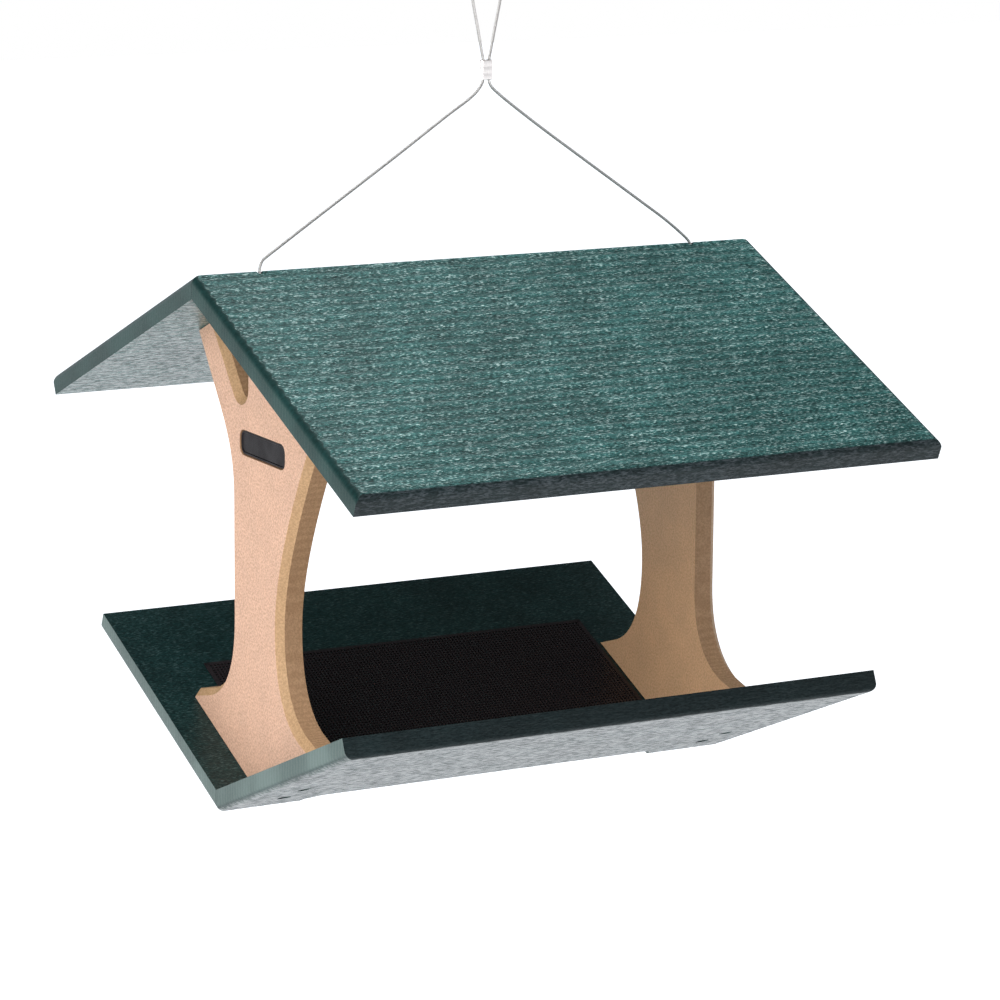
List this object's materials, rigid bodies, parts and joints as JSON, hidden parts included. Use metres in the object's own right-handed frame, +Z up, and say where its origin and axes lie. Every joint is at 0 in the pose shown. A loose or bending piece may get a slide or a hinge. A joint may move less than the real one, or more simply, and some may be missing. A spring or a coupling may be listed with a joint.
{
  "type": "fly-through bird feeder",
  "caption": "Hanging fly-through bird feeder: ribbed green pitched roof and V-shaped tray, black seed screen, notched tan supports and a steel cable with a crimped loop.",
  "frame": {"origin": "inside of the hanging loop's crown, where the hook bears", "axes": "+X along the ridge, -Y towards the front, +Z up"},
  "size_m": [0.381, 0.4298, 0.5178],
  "materials": {
    "green_board": "satin",
    "tan_board": "satin",
    "label_black": "gloss",
    "screen_black": "satin",
    "painted_screw": "satin",
    "screw_steel": "satin",
    "cable_steel": "bright",
    "ferrule_aluminium": "satin"
  },
  "bodies": {
    "feeder": {"roof_panel_front": "green_board", "roof_panel_back": "green_board", "base_panel_front": "green_board", "base_panel_back": "green_board", "support_left": "tan_board", "support_right": "tan_board", "label_plate_left": "label_black", "label_plate_right": "label_black", "hanging_cable": "cable_steel", "cable_ferrule": "ferrule_aluminium", "cable_stop_left": "screw_steel", "cable_stop_right": "screw_steel", "roof_screw_front_1": "painted_screw", "roof_screw_front_2": "painted_screw", "roof_screw_front_3": "painted_screw", "roof_screw_back_1": "painted_screw", "roof_screw_back_2": "painted_screw", "roof_screw_back_3": "painted_screw", "base_screw_front_1": "screw_steel", "base_screw_front_2": "screw_steel", "base_screw_front_3": "screw_steel", "base_screw_front_4": "screw_steel", "base_screw_back_1": "screw_steel", "base_screw_back_2": "screw_steel", "base_screw_back_3": "screw_steel", "base_screw_back_4": "screw_steel"},
    "screen": {"seed_screen": "screen_black"}
  },
  "joints": [
    {"name": "seed_screen_lift", "type": "slide", "parent": "feeder", "child": "screen", "axis": [0, 0, 1], "range_m": [0, 0.08]}
  ]
}
